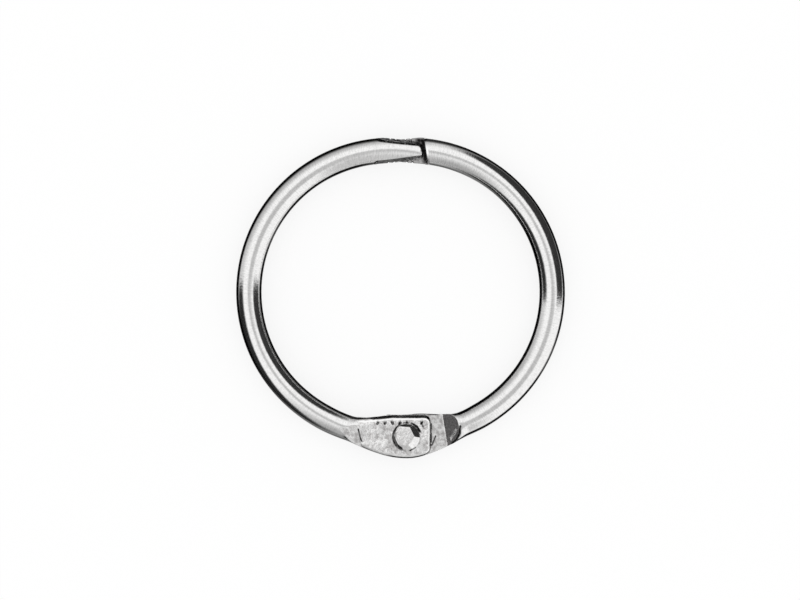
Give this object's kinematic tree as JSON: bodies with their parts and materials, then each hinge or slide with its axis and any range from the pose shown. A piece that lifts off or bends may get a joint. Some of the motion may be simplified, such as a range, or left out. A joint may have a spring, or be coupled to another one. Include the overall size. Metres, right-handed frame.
{
  "type": "hinged book ring",
  "caption": "Round wire ring in two halves that turn on a rivet and close on a toothed half lap, for holding punched sheets, cards or tags.",
  "frame": {"origin": "centre of the closed ring's bore, in the plane of its wire", "axes": "+Z out of the front, where the left arm's tab and the struck rivet head lie; +X to the right arm; +Y from the hinge to the closure"},
  "size_m": [0.0298, 0.029, 0.0032],
  "materials": {
    "arm_plate": "nickel-plated steel wire, bright, with fine draw marks and a rough pressed hinge tab",
    "rivet_plate": "nickel-plated steel, peened bright in front"
  },
  "bodies": {
    "left_arm": {"left_arm": "arm_plate", "hinge_rivet": "rivet_plate"},
    "right_arm": {"right_arm": "arm_plate"}
  },
  "joints": [
    {"name": "arm_swing", "type": "hinge", "parent": "left_arm", "child": "right_arm", "pos_m": [0.00055, -0.01304, 0], "axis": [0, 0, -1], "range_deg": [0, 120]}
  ]
}
